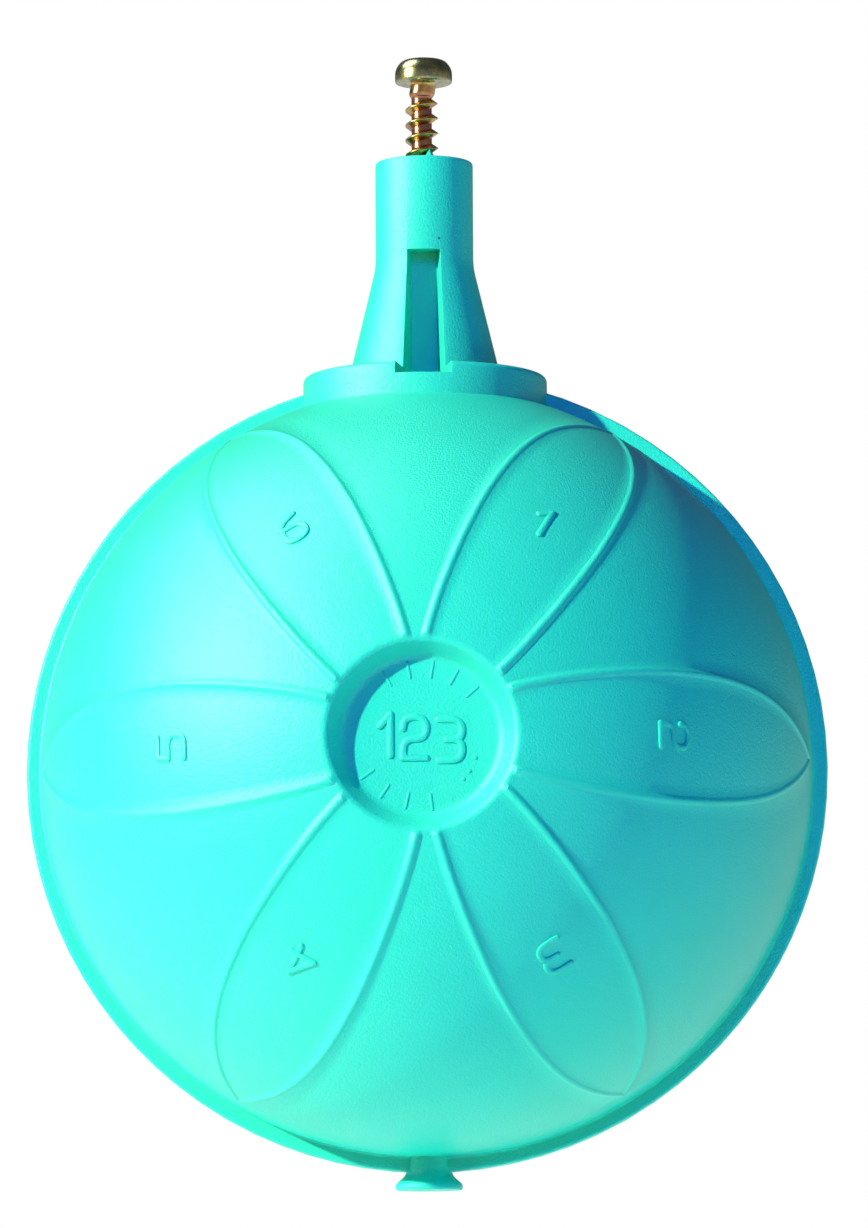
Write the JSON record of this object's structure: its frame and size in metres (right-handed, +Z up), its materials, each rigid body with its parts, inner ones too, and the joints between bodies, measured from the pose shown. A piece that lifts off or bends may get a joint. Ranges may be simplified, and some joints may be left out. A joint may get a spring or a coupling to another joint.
{
  "type": "float ball",
  "caption": "Hollow plastic float ball of two welded half shells with a seam flange, a slotted flared stem, a foot and a coarse screw that clamps the valve arm.",
  "frame": {"origin": "middle of the stem's top face, where the screw clamps the arm that holds the float", "axes": "+Z up along the stem, -Y towards the front half shell, X across the weld flange"},
  "size_m": [0.1246, 0.1172, 0.1775],
  "materials": {
    "moulded_polyethylene": "satin as moulded",
    "yellow_zinc_steel": "yellow zinc with a passivated sheen"
  },
  "bodies": {
    "root": {"front_half_shell": "moulded_polyethylene", "back_half_shell": "moulded_polyethylene", "arm_screw": "yellow_zinc_steel"}
  },
  "joints": []
}
